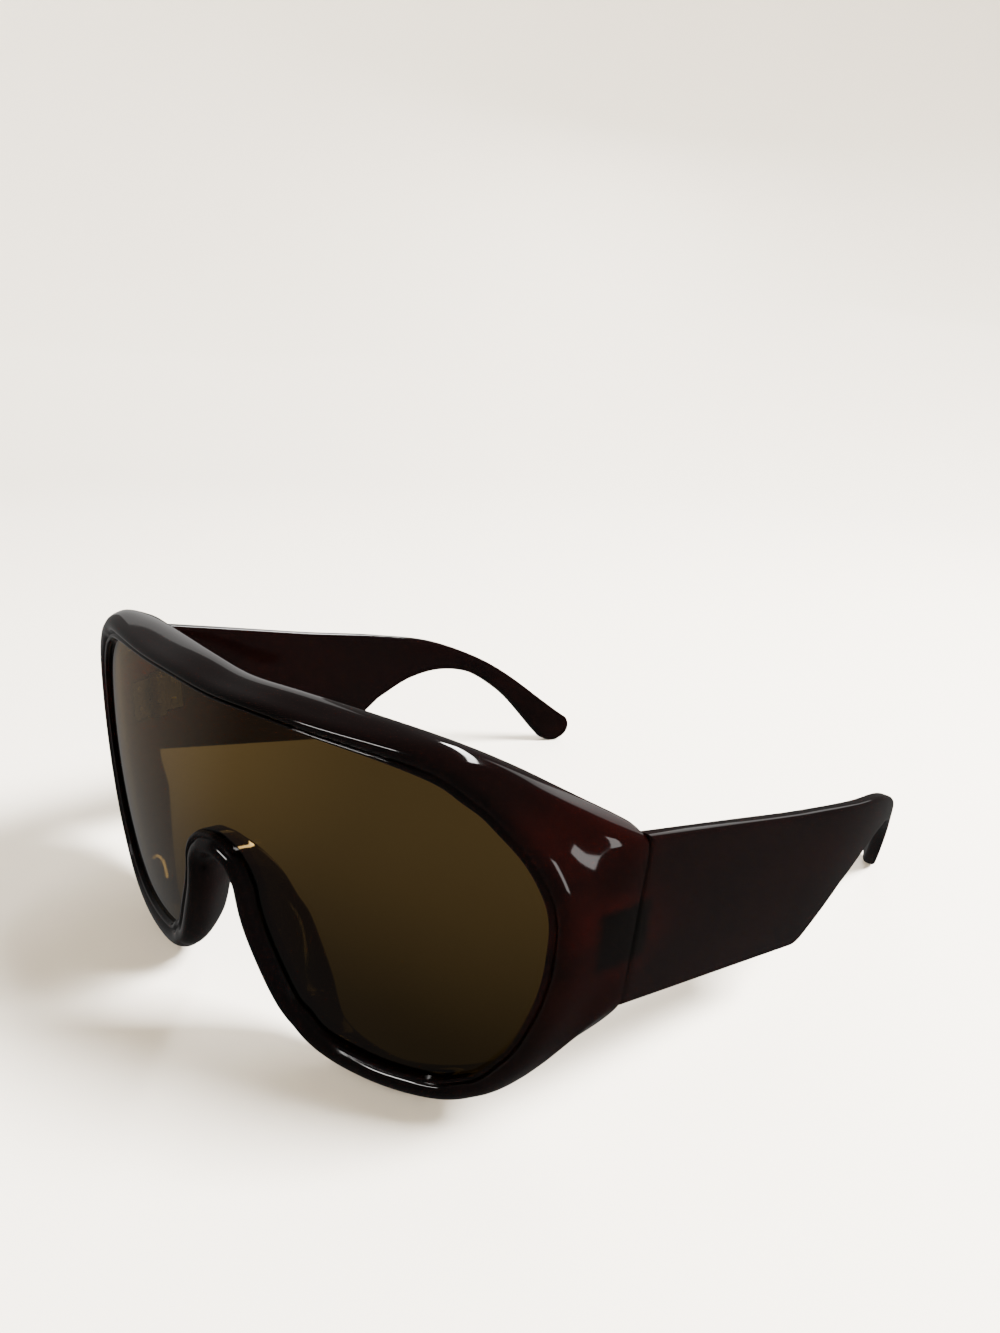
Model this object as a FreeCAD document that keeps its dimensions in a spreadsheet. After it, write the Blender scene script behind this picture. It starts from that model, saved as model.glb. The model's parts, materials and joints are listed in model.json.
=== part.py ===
import FreeCAD, Part
import math
import os
import Sketcher

# Shield sunglasses, open, standing on the lower rims and the temple tips.
# Millimetres. +Z is up, the front faces -Y and the wearer's left is +X.
# The origin is on the floor, midway between the sides and between front and tips.

SIZES = {
    # Shield lens: one piece, curved across and, more gently, up and down
    "lens_half_width": 64.0,
    "lens_height": 59.2,
    "lens_curve_radius": 136.0,
    "lens_rise_radius": 240.0,
    "lens_thickness": 2.0,
    "lens_seat": 1.2,
    "lens_clearance": 0.08,
    # Front frame: rim, brow and nose wings
    "rim_width": 5.8,
    "rim_lip": 1.9,
    "rim_back": 0.8,
    "wall_thickness": 2.8,
    "brow_depth": 8.6,
    "wing_depth": 4.4,
    "skirt_bulge": 0.7,
    "edge_round": 0.9,
    # End pieces and the seam where the temples meet the front
    "end_overhang": 6.5,
    "end_depth": 12.44,
    "end_shoulder": 2.6,
    "seam_drop": 9.2,
    "seam_height": 29.8,
    "seam_lean": 2.0,
    "seam_gap": 0.2,
    # Temples
    "temple_reach": 135.4,
    "temple_thickness": 3.2,
    "temple_splay": 4.0,
    "temple_bend": 20.6,
    "corner_radius": 6.0,
    "tip_radius": 4.7,
    # Hinges: two outer knuckles on the front, one between them on the temple
    "hinge_height": 9.0,
    "hinge_drop": 16.0,
    "pivot_inset": 1.0,
    "barrel_radius": 1.7,
    "bore_radius": 0.75,
    "running_clearance": 0.05,
    "knuckle_share": 0.3333,
    "knuckle_gap": 0.1,
    "notch_clearance": 0.3,
    "leaf_length": 7.0,
    "leaf_thickness": 0.9,
    "leaf_clearance": 0.1,
    # Hinge screws and the pins that hold the leaves
    "screw_head_radius": 1.3,
    "screw_head_height": 0.8,
    "slot_width": 0.4,
    "slot_depth": 0.4,
    "pin_radius": 0.55,
    "pin_length": 2.2,
    "pin_head_radius": 0.95,
    "pin_head_height": 0.35,
    "pin_clearance": 0.04,
    "pin_along_share": 0.68,
    "pin_lower_share": 0.22,
    "pin_upper_share": 0.78,
    # How far cutting tools and trimmed ends run past what they meet
    "cut_overrun": 6.0,
}

# Stations round half the lens, from the middle of the brow to the middle of the nose arch:
# place on the lens edge (of its half width and height), rim width there (of the rim width),
# where the rear edge stands out (of the rim width), lies back (of the brow depth) and runs on
# into a nose wing (of the wing depth), then on the end piece its height (of the seam's, from
# the top) and how far the end piece takes over from the rim.
STATION_SHARES = [
    (0.000, 0.975, 0.50, 0.46, 0.85, 0.00, 0.00, 0.00),
    (0.195, 0.980, 0.51, 0.47, 0.90, 0.00, 0.00, 0.00),
    (0.380, 0.975, 0.56, 0.49, 0.95, 0.00, 0.00, 0.00),
    (0.545, 0.967, 0.68, 0.47, 0.95, 0.00, 0.00, 0.00),
    (0.690, 0.947, 0.86, 0.50, 0.95, 0.00, 0.00, 0.08),
    (0.785, 0.907, 0.87, 0.66, 0.95, 0.00, 0.00, 0.38),
    (0.860, 0.857, 0.86, 0.68, 0.95, 0.00, 0.00, 0.78),
    (0.940, 0.775, 0.88, 0.62, 0.95, 0.00, 0.06, 1.00),
    (0.990, 0.675, 0.89, 0.61, 0.95, 0.00, 0.27, 1.00),
    (1.000, 0.545, 0.89, 0.60, 0.95, 0.00, 0.52, 1.00),
    (0.982, 0.390, 0.87, 0.59, 0.95, 0.00, 0.78, 1.00),
    (0.938, 0.245, 0.85, 0.58, 0.95, 0.00, 0.96, 1.00),
    (0.878, 0.137, 0.82, 0.62, 0.95, 0.00, 1.00, 0.80),
    (0.800, 0.058, 0.85, 0.75, 0.85, 0.00, 1.00, 0.38),
    (0.695, 0.016, 0.95, 0.80, 0.70, 0.00, 1.00, 0.08),
    (0.570, 0.004, 1.00, 0.77, 0.60, 0.00, 0.00, 0.00),
    (0.440, 0.014, 1.03, 0.68, 0.60, 0.10, 0.00, 0.00),
    (0.335, 0.070, 1.03, 0.48, 0.60, 0.50, 0.00, 0.00),
    (0.260, 0.163, 1.03, 0.27, 0.60, 0.95, 0.00, 0.00),
    (0.205, 0.280, 1.00, 0.18, 0.60, 1.00, 0.00, 0.00),
    (0.172, 0.373, 0.93, 0.20, 0.60, 0.70, 0.00, 0.00),
    (0.153, 0.456, 0.89, 0.30, 0.60, 0.38, 0.00, 0.00),
    (0.114, 0.511, 0.88, 0.42, 0.60, 0.16, 0.00, 0.00),
    (0.060, 0.545, 0.87, 0.54, 0.60, 0.04, 0.00, 0.00),
    (0.000, 0.557, 0.86, 0.58, 0.60, 0.00, 0.00, 0.00),
]

# Each band of the front is split into this many patches a side
PATCHES_A_SIDE = 4

# Section of the rim's front, from the lens outwards: out (of the rim width there), forward (of the lip).
# A ledge beside the lens, a crease, and the round bead.
LEDGE_SHARES = [(0.04, 0.50), (0.24, 0.42)]
BEAD_SHARES = [(0.24, 0.42), (0.36, 0.78), (0.54, 1.00), (0.76, 0.90)]

# Side view of a temple: place along it (of its reach) and height (of the seam's top)
TEMPLE_TOP_SHARES = [(0.0, 1.0), (0.18, 0.906), (0.351, 0.812), (0.53, 0.722), (0.668, 0.641), (0.783, 0.518)]
TEMPLE_LOWER_SHARES = [(0.823, 0.346), (0.755, 0.452), (0.686, 0.491), (0.61, 0.477), (0.522, 0.405)]
TEMPLE_CORNER_SHARES = (0.415, 0.255)

# Top view of a temple: it runs straight up to this share of its reach, then bends in
BEND_START_SHARE = 0.45
PLAN_SHARES = [0.0, 0.225, 0.45, 0.56, 0.67, 0.78, 0.89, 1.0]

# Where the tip's round takes over from the two edges, in degrees round the tip's centre
TIP_TOP_ANGLE = 35.0
TIP_LOW_ANGLE = 215.0


doc = FreeCAD.newDocument("shield_sunglasses")
sheet = doc.addObject("Spreadsheet::Sheet", "sizes")
for row, (alias, value) in enumerate(SIZES.items(), start=1):
    sheet.set(f"A{row}", alias.replace("_", " "))
    sheet.set(f"B{row}", str(value))
    sheet.setAlias(f"B{row}", alias)
doc.recompute()


def size(alias):
    """A driving dimension, read from the sheet."""
    return float(sheet.get(alias))


def vector(x, y, z):
    return FreeCAD.Vector(x, y, z)


def between(first, second, share):
    return first + (second - first) * share


X_AXIS = vector(1, 0, 0)
Y_AXIS = vector(0, 1, 0)
Z_AXIS = vector(0, 0, 1)
RIGHT_ANGLE = 90


# Places that several pieces share

lens_top = size("rim_width") + size("lens_height")
lens_middle = size("rim_width") + size("lens_height") / 2


def lens_sag(x, z, depth):
    """How far the lens lies back at x and z, on a surface at that depth behind its front.
    The lens is turned about an upright axis, and its radius shrinks above and below its middle."""
    rise = size("lens_rise_radius")
    fall_back = rise - math.sqrt(rise ** 2 - (z - lens_middle) ** 2)
    radius = size("lens_curve_radius")
    return radius - math.sqrt((radius - fall_back - depth) ** 2 - x ** 2)


end_half_width = size("lens_half_width") + size("end_overhang")
seam_top = lens_top - size("seam_drop")
seam_bottom = seam_top - size("seam_height")
hinge_middle = seam_top - size("hinge_drop")
inner_face_x = end_half_width - size("temple_thickness")
pivot_x = inner_face_x - size("pivot_inset")
seam_setback = lens_sag(size("lens_half_width"), lens_middle, 0) + size("end_depth")
front_y = (size("rim_lip") - seam_setback - size("temple_reach")) / 2
seam_y = front_y + seam_setback
groove_depth = size("lens_seat") + size("lens_clearance")


def seam_y_at(z):
    """The seam leans forward towards its lower end, about the hinge's middle."""
    return seam_y + (z - hinge_middle) * size("seam_lean") / size("seam_height")


# Document objects

def add_feature(name, shape):
    """An object that holds a freeform shape."""
    feature = doc.addObject("Part::Feature", name)
    feature.Shape = shape
    return feature


def add_boolean(kind, name, base, tool):
    result = doc.addObject(kind, name)
    result.Base = base
    result.Tool = tool
    return result


def add_fusion(name, shapes):
    result = doc.addObject("Part::MultiFuse", name)
    result.Shapes = shapes
    return result


def add_primitive(kind, name, **expressions):
    """A primitive whose properties follow the sheet."""
    result = doc.addObject(kind, name)
    for prop, expression in expressions.items():
        result.setExpression(prop, expression)
    return result


def add_mirrored(name, source):
    """The wearer's right-hand twin of a left-hand object."""
    result = doc.addObject("Part::Mirroring", name)
    result.Source = source
    result.Normal = X_AXIS
    return result


# Front frame: closed rings round the lens, skinned band by band

class Station:
    """One place on the lens edge, with the frame's section there."""

    def __init__(self, shares, outward):
        across, up, rim, rear_out, rear_back, wing, self.seam_share, self.takeover = shares
        self.x = across * size("lens_half_width")
        self.z = size("rim_width") + up * size("lens_height")
        self.outward = outward
        self.rim = rim * size("rim_width")
        self.rear_out = rear_out * size("rim_width")
        self.rear_back = rear_back * size("brow_depth") + wing * size("wing_depth")

    def at(self, out, depth):
        """A point so far outside the lens edge and so far behind the lens's front."""
        x = self.x + out * self.outward.x
        z = self.z + out * self.outward.z
        return vector(x, front_y + lens_sag(x, z, depth), z)

    def on_end(self, inset, back):
        """A point of the end piece, so far in from its outside and so far behind the seam."""
        z = seam_top - self.seam_share * size("seam_height")
        return vector(end_half_width - inset, seam_y_at(z) + back, z - temple_fall * back)

    def shoulder(self):
        return self.at(self.rim, size("rim_back"))

    def middle(self):
        out = (self.rim + self.rear_out) / 2 + size("skirt_bulge")
        back = (size("rim_back") + self.rear_back) / 2
        end = self.on_end(size("skirt_bulge") / 2, -size("end_shoulder"))
        return between(self.at(out, back), end, self.takeover)

    def rear(self):
        end = self.on_end(0, size("cut_overrun"))
        return between(self.at(self.rear_out, self.rear_back), end, self.takeover)

    def inner_rear(self):
        end = self.on_end(size("temple_thickness"), size("cut_overrun"))
        return between(self.at(self.rear_out - size("wall_thickness"), self.rear_back), end, self.takeover)

    def round_rear(self):
        """Middle of the rear edge, which is rounded."""
        return (self.rear() + self.inner_rear()) / 2 + Y_AXIS * size("edge_round")


# How steeply the temple's top, and the end piece with it, falls towards the rear
top_start, top_next = TEMPLE_TOP_SHARES[:2]
temple_fall = (top_start[1] - top_next[1]) * seam_top / (top_next[0] * size("temple_reach"))


def chord_parameters(points):
    """Curve parameters in step with the distance from point to point."""
    steps = [0.0]
    for here, there in zip(points, points[1:]):
        steps.append(steps[-1] + here.distanceToPoint(there))
    return steps


def half_curve(points, parameters):
    """Left half of a closed curve, level at both ends so that its mirror image carries on smoothly.
    The end tangents keep step with the points, so that curves beside each other stay parallel."""
    first = X_AXIS * (points[1].x / (parameters[1] - parameters[0]))
    last = X_AXIS * (-points[-2].x / (parameters[-1] - parameters[-2]))
    curve = Part.BSplineCurve()
    curve.interpolate(
        Points=points, Parameters=parameters, InitialTangent=first, FinalTangent=last, Scale=False)
    return curve


def make_stations():
    """The stations, and curve parameters that suit both the lens edge and the rear edge."""
    edge = [vector(row[0] * size("lens_half_width"), 0, row[1] * size("lens_height")) for row in STATION_SHARES]
    edge_parameters = chord_parameters(edge)
    curve = half_curve(edge, edge_parameters)
    made = []
    for row, parameter in zip(STATION_SHARES, edge_parameters):
        along = curve.tangent(parameter)[0]
        made.append(Station(row, vector(-along.z, 0, along.x)))
    rear_parameters = chord_parameters([station.rear() for station in made])
    return made, [(near + far) / 2 for near, far in zip(edge_parameters, rear_parameters)]


stations, ring_parameters = make_stations()


def half_ring(place):
    """Left half of the smooth closed curve through one point of every station's section."""
    return half_curve([place(station) for station in stations], ring_parameters)


def bead_ring(out_share, forward_share):
    return half_ring(lambda station: station.at(out_share * station.rim, -forward_share * size("rim_lip")))


def skin(rings):
    """Faces through half rings, smooth from one to the next. The rings share their parameters,
    so their poles line up and the faces pass through them exactly."""
    rows = [curve.getPoles() for curve in rings]
    steps = [0.0]
    for here, there in zip(rows, rows[1:]):
        gaps = [near.distanceToPoint(far) for near, far in zip(here, there)]
        steps.append(steps[-1] + sum(gaps) / len(gaps))
    crossings = []
    for column in zip(*rows):
        crossing = Part.BSplineCurve()
        crossing.interpolate(Points=list(column), Parameters=steps)
        crossings.append(crossing)
    along, across = rings[0], crossings[0]
    surface = Part.BSplineSurface()
    surface.buildFromPolesMultsKnots(
        [crossing.getPoles() for crossing in crossings],
        along.getMultiplicities(), across.getMultiplicities(), along.getKnots(), across.getKnots(),
        False, False, along.Degree, across.Degree)
    last_station = len(stations) - 1
    ends = [ring_parameters[round(last_station * patch / PATCHES_A_SIDE)] for patch in range(PATCHES_A_SIDE + 1)]
    faces = []
    for start, end in zip(ends, ends[1:]):
        patch = surface.copy()
        patch.segment(start, end, steps[0], steps[-1])
        faces.append(patch.toShape())
    return faces


def make_front_blank():
    """Bead, skirt, rear edge, inside and lens groove, sewn into one solid."""
    ahead = -size("lens_clearance")
    behind = size("lens_thickness") + size("lens_clearance")
    front_edge = half_ring(lambda station: station.at(0, ahead))
    shoulder = half_ring(Station.shoulder)
    rear = half_ring(Station.rear)
    inner_rear = half_ring(Station.inner_rear)
    inner_lip = half_ring(lambda station: station.at(0, behind))
    groove_rear = half_ring(lambda station: station.at(groove_depth, behind))
    groove_front = half_ring(lambda station: station.at(groove_depth, ahead))
    ledge = [bead_ring(*shares) for shares in LEDGE_SHARES]
    bead = [bead_ring(*shares) for shares in BEAD_SHARES]
    bands = [
        skin([front_edge, ledge[0]]),
        skin(ledge),
        skin(bead + [shoulder]),
        skin([shoulder, half_ring(Station.middle), rear]),
        skin([rear, half_ring(Station.round_rear), inner_rear]),
        skin([inner_rear, inner_lip]),
        skin([inner_lip, groove_rear]),
        skin([groove_rear, groove_front]),
        skin([groove_front, front_edge]),
    ]
    left_faces = [face for band in bands for face in band]
    right_faces = [face.mirror(vector(0, 0, 0), X_AXIS) for face in left_faces]
    shell = Part.Compound(left_faces + right_faces)
    shell.sewShape()
    solid = Part.Solid(shell.Shells[0])
    if solid.Volume < 0:
        solid.reverse()
    return solid


def add_seam_trim():
    """Everything behind the leaning seam, to trim the front's end pieces."""
    trim = add_primitive(
        "Part::Box", "seam_trim",
        Length="2 * (sizes.lens_half_width + sizes.end_overhang + sizes.cut_overrun)",
        Width="4 * sizes.cut_overrun",
        Height="2 * (sizes.rim_width + sizes.lens_height)")
    lean = math.degrees(math.atan2(size("seam_lean"), size("seam_height")))
    seam = FreeCAD.Placement(vector(0, seam_y, hinge_middle), FreeCAD.Rotation(X_AXIS, -lean))
    corner = vector(-end_half_width - size("cut_overrun"), 0, -lens_top)
    trim.Placement = seam.multiply(FreeCAD.Placement(corner, FreeCAD.Rotation()))
    return trim


# Shield lens: a curved shell, cut to the outline that the groove holds

def make_lens_outline():
    """Prism along Y, as large as the lens with its seated edge."""
    half = []
    for station in stations:
        point = station.at(size("lens_seat"), 0)
        half.append(vector(point.x, front_y - size("cut_overrun"), point.z))
    left = half_curve(half, ring_parameters).toShape()
    outline = Part.Wire([left, left.mirror(vector(0, 0, 0), X_AXIS)])
    return Part.Face(outline).extrude(Y_AXIS * (seam_setback + size("cut_overrun")))


def make_lens_profile():
    """Upright section through the lens's middle: two like arcs, one lens thickness apart."""
    low, high = -size("cut_overrun"), lens_top + size("cut_overrun")

    def point(z, depth):
        return vector(0, front_y + lens_sag(0, z, depth), z)

    behind = size("lens_thickness")
    return Part.Face(Part.Wire([
        arc(point(low, 0), point(lens_middle, 0), point(high, 0)),
        line(point(high, 0), point(high, behind)),
        arc(point(high, behind), point(lens_middle, behind), point(low, behind)),
        line(point(low, behind), point(low, 0)),
    ]))


def make_lens():
    """The profile turned to both sides about the lens's upright axis, within the outline."""
    shell = doc.addObject("Part::Revolution", "lens_shell")
    shell.Source = add_feature("lens_profile", make_lens_profile())
    shell.Base = vector(0, front_y + size("lens_curve_radius"), 0)
    shell.Axis = Z_AXIS
    shell.Angle = RIGHT_ANGLE
    shell.Symmetric = True
    outline = add_feature("lens_outline", make_lens_outline())
    return add_boolean("Part::Common", "shield_lens", shell, outline)


# Temples: a side view and a top view, each a prism, and what they have in common

def spline(points, first_direction=None, last_direction=None):
    curve = Part.BSplineCurve()
    if first_direction is None:
        curve.interpolate(Points=points)
    else:
        curve.interpolate(Points=points, InitialTangent=first_direction, FinalTangent=last_direction)
    return curve.toShape()


def line(start, end):
    return Part.LineSegment(start, end).toShape()


def arc(start, middle, end):
    return Part.Arc(start, middle, end).toShape()


def temple_point(along_share, height_share):
    """A point of the side view, at a share of the reach and of the seam's top."""
    return vector(0, seam_y + along_share * size("temple_reach"), height_share * seam_top)


def tip_point(angle):
    """A point on the tip's round, which touches the floor and ends the reach."""
    radius = size("tip_radius")
    turn = math.radians(angle)
    centre = vector(0, seam_y + size("temple_reach") - radius, radius)
    return centre + vector(0, math.cos(turn), math.sin(turn)) * radius


def tip_direction(angle):
    """The way round the tip, from its upper to its lower side."""
    turn = math.radians(angle)
    return vector(0, math.sin(turn), -math.cos(turn))


def make_temple_side():
    """Outline seen from the side, from the seam's top round the tip and back."""
    seam_high = vector(0, seam_y_at(seam_top), seam_top)
    seam_low = vector(0, seam_y_at(seam_bottom), seam_bottom)
    top = [seam_high] + [temple_point(*shares) for shares in TEMPLE_TOP_SHARES[1:]]
    lower = [temple_point(*shares) for shares in TEMPLE_LOWER_SHARES]
    corner = temple_point(*TEMPLE_CORNER_SHARES)
    to_arch = (lower[-1] - corner).normalize()
    to_seam = (seam_low - corner).normalize()
    half_angle = to_arch.getAngle(to_seam) / 2
    radius = size("corner_radius")
    setback = radius / math.tan(half_angle)
    inwards = (to_arch + to_seam).normalize()
    arc_middle = corner + inwards * (radius / math.sin(half_angle) - radius)
    arc_start = corner + to_arch * setback
    arc_end = corner + to_seam * setback
    tip_bottom = tip_point((TIP_TOP_ANGLE + TIP_LOW_ANGLE) / 2 + 2 * RIGHT_ANGLE)
    return Part.Wire([
        spline(top + [tip_point(TIP_TOP_ANGLE)], top[1] - top[0], tip_direction(TIP_TOP_ANGLE)),
        arc(tip_point(TIP_TOP_ANGLE), tip_bottom, tip_point(TIP_LOW_ANGLE)),
        spline([tip_point(TIP_LOW_ANGLE)] + lower, tip_direction(TIP_LOW_ANGLE), -to_arch),
        line(lower[-1], arc_start),
        arc(arc_start, arc_middle, arc_end),
        line(arc_end, seam_low),
        line(seam_low, seam_high),
    ])


def temple_plan_point(along_share):
    """Outer face seen from above, at a share of the reach."""
    bent = max(0.0, along_share - BEND_START_SHARE) / (1 - BEND_START_SHARE)
    x = end_half_width + size("temple_splay") * along_share - size("temple_bend") * bent ** 2
    return vector(x, seam_y + along_share * size("temple_reach"), 0)


def make_temple_plan():
    """Outline seen from above, a little longer than the temple at both ends."""
    outer = [temple_plan_point(share) for share in PLAN_SHARES]
    first = outer[0] + (outer[0] - outer[1]).normalize() * size("cut_overrun")
    last = outer[-1] + (outer[-1] - outer[-2]).normalize() * size("cut_overrun")
    outer = [first] + outer + [last]
    inner = [point - X_AXIS * size("temple_thickness") for point in reversed(outer)]
    return Part.Wire([spline(outer), line(outer[-1], inner[0]), spline(inner), line(inner[-1], outer[0])])


def runs_lengthwise(edge):
    """Whether an edge of the temple's plate is one of the long ones, to be rounded."""
    first, last = edge.Vertexes[0].Point, edge.Vertexes[-1].Point
    at_seam = all(abs(point.y - seam_y_at(point.z)) < size("seam_gap") for point in (first, last))
    crosses = edge.Length < 2 * size("temple_thickness") and abs(first.x - last.x) > size("edge_round")
    return not at_seam and not crosses


def make_temple_blank():
    """A temple with its long edges rounded, before the hinge is let in."""
    side = Part.Face(make_temple_side()).extrude(X_AXIS * (end_half_width + size("temple_splay")))
    plan = Part.Face(make_temple_plan()).extrude(Z_AXIS * lens_top)
    plate = side.common(plan).Solids[0]
    rounded = plate.makeFillet(size("edge_round"), [edge for edge in plate.Edges if runs_lengthwise(edge)])
    rounded.translate(Y_AXIS * size("seam_gap"))
    return rounded


# Hinges, laid out about the left pivot: x outwards, y towards the tip, z up from the hinge's foot

def front_leaf_turn():
    """Degrees that the front leaf turns inwards, to lie along the inside of the end piece."""
    lip_x = size("lens_half_width")
    lip_y = front_y + lens_sag(lip_x, lens_middle, size("lens_thickness"))
    return math.degrees(math.atan2(inner_face_x - lip_x, seam_y - lip_y))


hinge_foot = vector(pivot_x, seam_y, hinge_middle - size("hinge_height") / 2)
HINGE_PLACES = {
    "temple": FreeCAD.Placement(hinge_foot, FreeCAD.Rotation(Z_AXIS, 0)),
    "front": FreeCAD.Placement(hinge_foot, FreeCAD.Rotation(Z_AXIS, -front_leaf_turn())),
}
LEAF_DIRECTIONS = {"temple": 1, "front": -1}
KNUCKLE = "sizes.hinge_height * sizes.knuckle_share"
KNUCKLE_ROOMS = {
    "temple": [
        ("0 * sizes.hinge_height", f"{KNUCKLE} + sizes.knuckle_gap"),
        (f"sizes.hinge_height - {KNUCKLE} - sizes.knuckle_gap", f"{KNUCKLE} + sizes.knuckle_gap"),
    ],
    "front": [(KNUCKLE, f"sizes.hinge_height - 2 * {KNUCKLE}")],
}


def add_sketch(body, name, role, **offsets):
    """An empty sketch on one of the body's planes, moved by offsets that follow the sheet."""
    sketch = body.newObject("Sketcher::SketchObject", name)
    plane = next(feature for feature in body.Origin.OriginFeatures if feature.Role == role)
    sketch.AttachmentSupport = [(plane, "")]
    sketch.MapMode = "FlatFace"
    for axis, expression in offsets.items():
        sketch.setExpression(f"AttachmentOffset.Base.{axis}", expression)
    return sketch


def add_driven(sketch, constraint, name, expression):
    """A constraint whose value follows the sheet."""
    sketch.renameConstraint(sketch.addConstraint(constraint), name)
    sketch.setExpression(f"Constraints.{name}", expression)


def draw_rectangle(sketch, width, depth):
    """A rectangle with a corner on the sketch's origin."""
    corners = [vector(0, 0, 0), vector(1, 0, 0), vector(1, 1, 0), vector(0, 1, 0)]
    for here, there in zip(corners, corners[1:] + corners[:1]):
        sketch.addGeometry(Part.LineSegment(here, there), False)
    for first, second in ((0, 1), (1, 2), (2, 3), (3, 0)):
        sketch.addConstraint(Sketcher.Constraint("Coincident", first, 2, second, 1))
    for level, upright in ((0, 1), (2, 3)):
        sketch.addConstraint(Sketcher.Constraint("Horizontal", level))
        sketch.addConstraint(Sketcher.Constraint("Vertical", upright))
    sketch.addConstraint(Sketcher.Constraint("Coincident", 0, 1, -1, 1))
    add_driven(sketch, Sketcher.Constraint("DistanceX", 0, 1, 0, 2, 1), "width", width)
    add_driven(sketch, Sketcher.Constraint("DistanceY", 1, 1, 1, 2, 1), "depth", depth)


def draw_circle(sketch, radius):
    """A circle about the sketch's origin."""
    sketch.addGeometry(Part.Circle(vector(0, 0, 0), Z_AXIS, 1), False)
    sketch.addConstraint(Sketcher.Constraint("Coincident", 0, 3, -1, 1))
    add_driven(sketch, Sketcher.Constraint("Radius", 0, 1), "radius", radius)


def add_pad(body, sketch, length):
    pad = body.newObject("PartDesign::Pad", f"{sketch.Name}_pad")
    pad.Profile = sketch
    pad.setExpression("Length", length)
    doc.recompute()


def add_pocket(body, sketch, length):
    """A pocket along the sketch's own normal, which has to take something away."""
    before = body.Shape.Volume
    pocket = body.newObject("PartDesign::Pocket", f"{sketch.Name}_pocket")
    pocket.Profile = sketch
    pocket.Reversed = True
    pocket.setExpression("Length", length)
    doc.recompute()
    if body.Shape.Volume >= before:
        raise RuntimeError(f"{pocket.Name} cuts nothing")


def make_leaf(name, side):
    """A hinge leaf: plate and barrel, less room for the other leaf's knuckles, the bore and pin holes."""
    body = doc.addObject("PartDesign::Body", name)
    direction = LEAF_DIRECTIONS[side]
    plate_start = f"{min(direction, 0)} * sizes.leaf_length"
    plate = add_sketch(body, f"{name}_plate", "XY_Plane", x="sizes.pivot_inset", y=plate_start)
    draw_rectangle(plate, "sizes.leaf_thickness", "sizes.leaf_length")
    add_pad(body, plate, "sizes.hinge_height")
    barrel = add_sketch(body, f"{name}_barrel", "XY_Plane")
    draw_circle(barrel, "sizes.barrel_radius")
    add_pad(body, barrel, "sizes.hinge_height")
    notch = "(sizes.barrel_radius + sizes.notch_clearance)"
    for index, (foot, height) in enumerate(KNUCKLE_ROOMS[side]):
        room = add_sketch(body, f"{name}_room{index}", "XY_Plane", x=f"-{notch}", y=f"-{notch}", z=foot)
        draw_rectangle(room, f"2 * {notch} + sizes.pivot_inset + sizes.leaf_thickness", f"2 * {notch}")
        add_pocket(body, room, height)
    bore = add_sketch(body, f"{name}_bore", "XY_Plane")
    draw_circle(bore, "sizes.bore_radius")
    add_pocket(body, bore, "sizes.hinge_height")
    for level in ("lower", "upper"):
        hole = add_sketch(
            body, f"{name}_{level}_hole", "YZ_Plane",
            x=f"{direction} * sizes.pin_along_share * sizes.leaf_length",
            y=f"sizes.pin_{level}_share * sizes.hinge_height")
        draw_circle(hole, "sizes.pin_radius + sizes.pin_clearance")
        add_pocket(body, hole, "sizes.pivot_inset + 2 * sizes.leaf_thickness")
    body.Placement = HINGE_PLACES[side]
    return body


def put_in_hinge(feature, side, offset, turn=FreeCAD.Rotation()):
    """Places a feature by its offset from the hinge's foot, turned with that side's leaf."""
    feature.Placement = HINGE_PLACES[side].multiply(FreeCAD.Placement(offset, turn))
    return feature


def pin_offset(side, level, x):
    along = LEAF_DIRECTIONS[side] * size("pin_along_share") * size("leaf_length")
    return vector(x, along, size(f"pin_{level}_share") * size("hinge_height"))


ACROSS = FreeCAD.Rotation(Y_AXIS, RIGHT_ANGLE)


def make_pin(name, side, level):
    """A pin through a leaf into the plastic, with a low coned head on the inside."""
    shank = add_primitive("Part::Cylinder", f"{name}_shank", Radius="sizes.pin_radius", Height="sizes.pin_length")
    head = add_primitive(
        "Part::Cone", f"{name}_head",
        Radius1="sizes.pin_head_radius - sizes.pin_head_height",
        Radius2="sizes.pin_head_radius",
        Height="sizes.pin_head_height")
    put_in_hinge(shank, side, pin_offset(side, level, size("pivot_inset")), ACROSS)
    put_in_hinge(head, side, pin_offset(side, level, size("pivot_inset") - size("pin_head_height")), ACROSS)
    return add_boolean("Part::Fuse", name, head, shank)


def make_screw(name):
    """Slotted screw that the knuckles turn on, its head on the upper knuckle."""
    shank = add_primitive(
        "Part::Cylinder", f"{name}_shank",
        Radius="sizes.bore_radius - sizes.running_clearance", Height="sizes.hinge_height")
    head = add_primitive(
        "Part::Cylinder", f"{name}_head", Radius="sizes.screw_head_radius", Height="sizes.screw_head_height")
    slot = add_primitive(
        "Part::Box", f"{name}_slot", Length="4 * sizes.screw_head_radius", Width="sizes.slot_width",
        Height="2 * sizes.slot_depth")
    top = size("hinge_height") + size("screw_head_height")
    put_in_hinge(shank, "temple", vector(0, 0, 0))
    put_in_hinge(head, "temple", vector(0, 0, size("hinge_height")))
    put_in_hinge(slot, "temple", vector(
        -2 * size("screw_head_radius"), -size("slot_width") / 2, top - size("slot_depth")))
    blank = add_boolean("Part::Fuse", f"{name}_blank", head, shank)
    return add_boolean("Part::Cut", name, blank, slot)


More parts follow.
